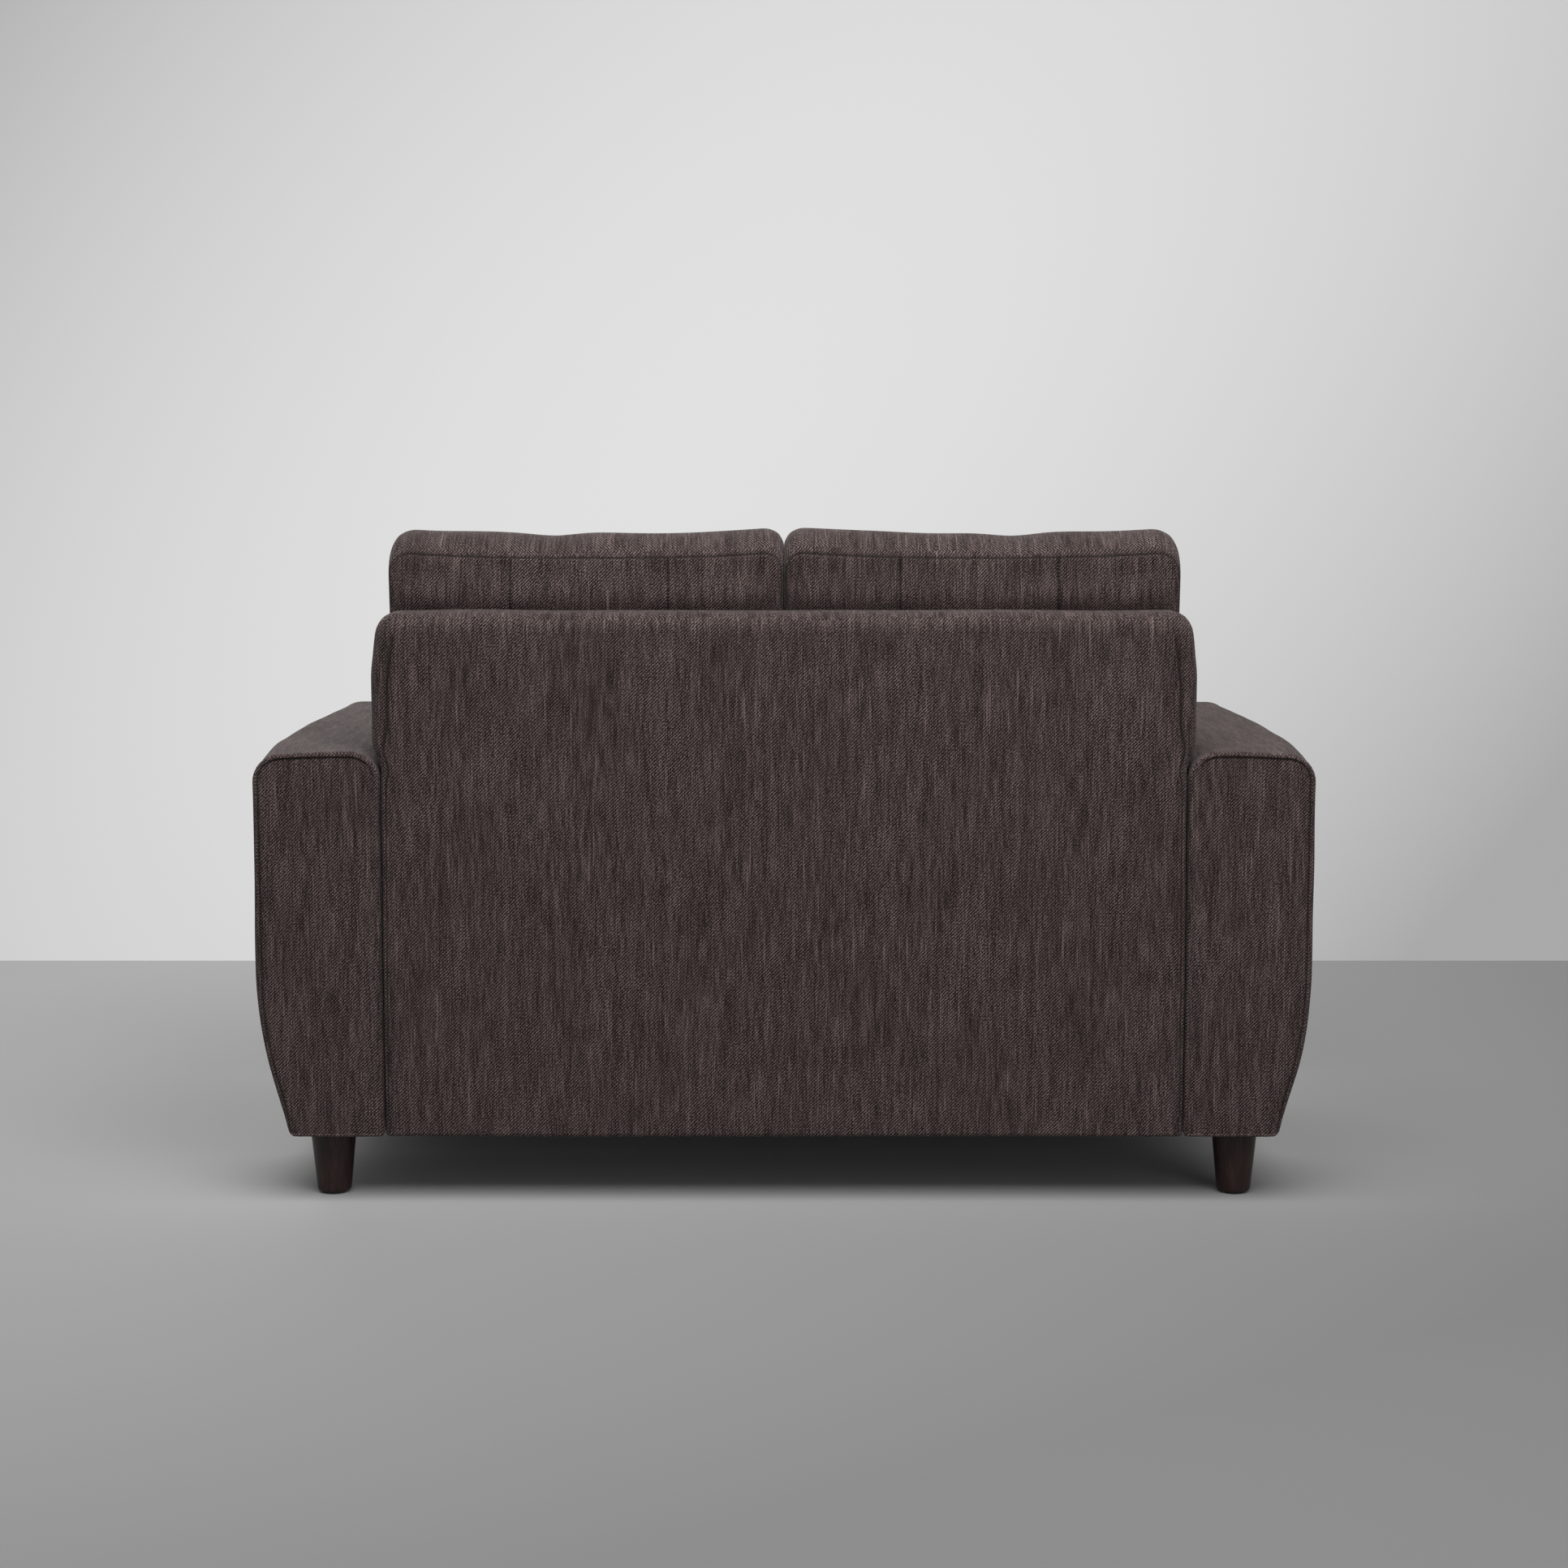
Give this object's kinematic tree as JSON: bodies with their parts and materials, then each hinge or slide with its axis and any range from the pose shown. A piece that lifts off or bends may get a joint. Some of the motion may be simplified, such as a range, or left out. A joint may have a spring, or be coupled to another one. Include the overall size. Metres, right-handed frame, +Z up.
{
  "type": "two-seater sofa",
  "caption": "Upholstered two-seater sofa with padded arms, a tall flat back, loose boxed seat and back cushions, and turned tapered wooden legs.",
  "frame": {"origin": "on the floor under the middle of the sofa", "axes": "+Z up; the seat faces -Y and the outside back faces +Y; +X is to the right of someone who stands in front of the sofa and looks at it"},
  "size_m": [1.498, 0.8302, 0.9508],
  "materials": {
    "upholstery": "matte woven twill",
    "foam": "open-cell foam and wadding",
    "webbing": "woven elastic strap",
    "dust_cloth": "thin non-woven cloth",
    "frame_wood": "sawn and unfinished",
    "leg_wood": "stained dark, satin lacquer",
    "steel": "plain zinc",
    "plastic": "moulded"
  },
  "bodies": {
    "sofa_frame": {"back_cover": "upholstery", "seat_cover": "upholstery", "left_arm_cover": "upholstery", "left_arm_front_facing": "upholstery", "left_arm_rear_facing": "upholstery", "right_arm_cover": "upholstery", "right_arm_front_facing": "upholstery", "right_arm_rear_facing": "upholstery", "deck_pad": "foam", "front_border_foam": "foam", "back_wadding": "foam", "left_arm_foam": "foam", "right_arm_foam": "foam", "back_webbing": "webbing", "dust_cover": "dust_cloth", "back_posts": "frame_wood", "back_rails": "frame_wood", "front_rail": "frame_wood", "rear_rail": "frame_wood", "side_rails": "frame_wood", "centre_rail": "frame_wood", "corner_blocks": "frame_wood", "outside_back_board": "frame_wood", "left_arm_end_panels": "frame_wood", "left_arm_rails": "frame_wood", "right_arm_end_panels": "frame_wood", "right_arm_rails": "frame_wood", "legs": "leg_wood", "seat_springs": "steel", "spring_clips": "steel", "arm_screws": "steel", "back_screws": "steel", "leg_bolts": "steel", "leg_nuts": "steel", "leg_glides": "plastic"},
    "left_seat_cushion": {"left_seat_cushion_cover": "upholstery", "left_seat_cushion_foam": "foam", "left_seat_cushion_zip": "plastic"},
    "left_back_cushion": {"left_back_cushion_cover": "upholstery", "left_back_cushion_foam": "foam", "left_back_cushion_zip": "plastic"},
    "right_seat_cushion": {"right_seat_cushion_cover": "upholstery", "right_seat_cushion_foam": "foam", "right_seat_cushion_zip": "plastic"},
    "right_back_cushion": {"right_back_cushion_cover": "upholstery", "right_back_cushion_foam": "foam", "right_back_cushion_zip": "plastic"}
  },
  "joints": [
    {"name": "left_seat_cushion_pull", "type": "slide", "parent": "sofa_frame", "child": "left_seat_cushion", "axis": [0, -0.9986, 0.0523], "range_m": [0, 0.7]},
    {"name": "right_seat_cushion_pull", "type": "slide", "parent": "sofa_frame", "child": "right_seat_cushion", "axis": [0, -0.9986, 0.0523], "range_m": [0, 0.7]},
    {"name": "left_back_cushion_lift", "type": "slide", "parent": "sofa_frame", "child": "left_back_cushion", "axis": [0, 0.1382, 0.9904], "range_m": [0, 0.55]},
    {"name": "right_back_cushion_lift", "type": "slide", "parent": "sofa_frame", "child": "right_back_cushion", "axis": [0, 0.1382, 0.9904], "range_m": [0, 0.55]}
  ]
}
